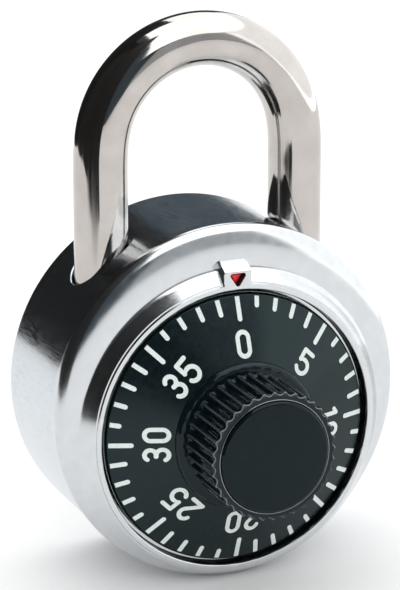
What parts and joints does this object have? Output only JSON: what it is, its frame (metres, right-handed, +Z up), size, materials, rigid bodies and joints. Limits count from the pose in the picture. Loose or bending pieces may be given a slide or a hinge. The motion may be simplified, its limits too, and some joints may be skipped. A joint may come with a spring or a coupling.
{
  "type": "combination padlock",
  "caption": "Round steel combination padlock with a conical numbered dial, a fluted knob, a round-bar shackle that lifts, and the disc pack, lever and latch inside.",
  "frame": {"origin": "inside of the shackle's crown, in the middle of the bar, where the lock hangs", "axes": "+Z up along the shackle, dial faces -Y, +X to the right as seen from the dial side"},
  "size_m": [0.048, 0.0348, 0.0741],
  "materials": {
    "case_steel": "polished",
    "inner_steel": "satin",
    "cover_steel": "satin",
    "red_enamel": "gloss",
    "brass": "satin",
    "spring_steel": "satin",
    "bright_steel": "satin",
    "dial_black": "satin",
    "white_paint": "matt",
    "knob_black": "gloss",
    "cap_black": "gloss",
    "shackle_chrome": "polished"
  },
  "bodies": {
    "case": {"outer_case": "case_steel", "inner_case": "inner_steel", "rear_cover": "cover_steel", "index_pointer": "red_enamel", "dial_bushing": "brass", "friction_washer": "spring_steel", "post_plate": "inner_steel", "frame_pillars": "bright_steel", "wheel_post": "bright_steel", "disc_spacers": "brass", "heel_stop": "inner_steel", "latch_guide": "inner_steel", "lever_pivot": "bright_steel", "lever_spring": "spring_steel", "latch_spring": "spring_steel"},
    "dial": {"dial_plate": "dial_black", "dial_marks": "white_paint", "knob": "knob_black", "knob_cap": "cap_black", "dial_spindle": "bright_steel", "spindle_ring": "spring_steel", "drive_cam": "brass"},
    "middle_disc": {"middle_disc": "brass"},
    "rear_disc": {"rear_disc": "brass"},
    "shackle": {"shackle": "shackle_chrome"},
    "latch": {"latch_bolt": "bright_steel"},
    "lever": {"locking_lever": "inner_steel", "lever_fence": "bright_steel"}
  },
  "joints": [
    {"name": "dial_spin", "type": "hinge", "parent": "case", "child": "dial", "pos_m": [0, 0, -0.0459], "axis": [0, 1, 0], "continuous": true},
    {"name": "middle_disc_turn", "type": "hinge", "parent": "case", "child": "middle_disc", "pos_m": [0, 0, -0.0459], "axis": [0, 1, 0], "continuous": true},
    {"name": "rear_disc_turn", "type": "hinge", "parent": "case", "child": "rear_disc", "pos_m": [0, 0, -0.0459], "axis": [0, 1, 0], "continuous": true},
    {"name": "shackle_lift", "type": "slide", "parent": "case", "child": "shackle", "axis": [0, 0, 1], "range_m": [0, 0.0115]},
    {"name": "latch_slide", "type": "slide", "parent": "case", "child": "latch", "axis": [1, 0, 0], "range_m": [0, 0.0046], "stiffness_N_per_m": 20, "springref_m": -0.002, "deforming": ["latch_spring"]},
    {"name": "lever_swing", "type": "hinge", "parent": "case", "child": "lever", "pos_m": [-0.0145, 0, -0.052], "axis": [0, 1, 0], "range_deg": [0, 1.5], "stiffness_Nm_per_rad": 0.003, "springref_deg": -17.19}
  ],
  "couplings": [
    {"joint": "middle_disc_turn", "follows": "dial_spin", "ratio": 1},
    {"joint": "rear_disc_turn", "follows": "dial_spin", "ratio": 1},
    {"joint": "latch_slide", "follows": "shackle_lift", "ratio": 0.4}
  ]
}
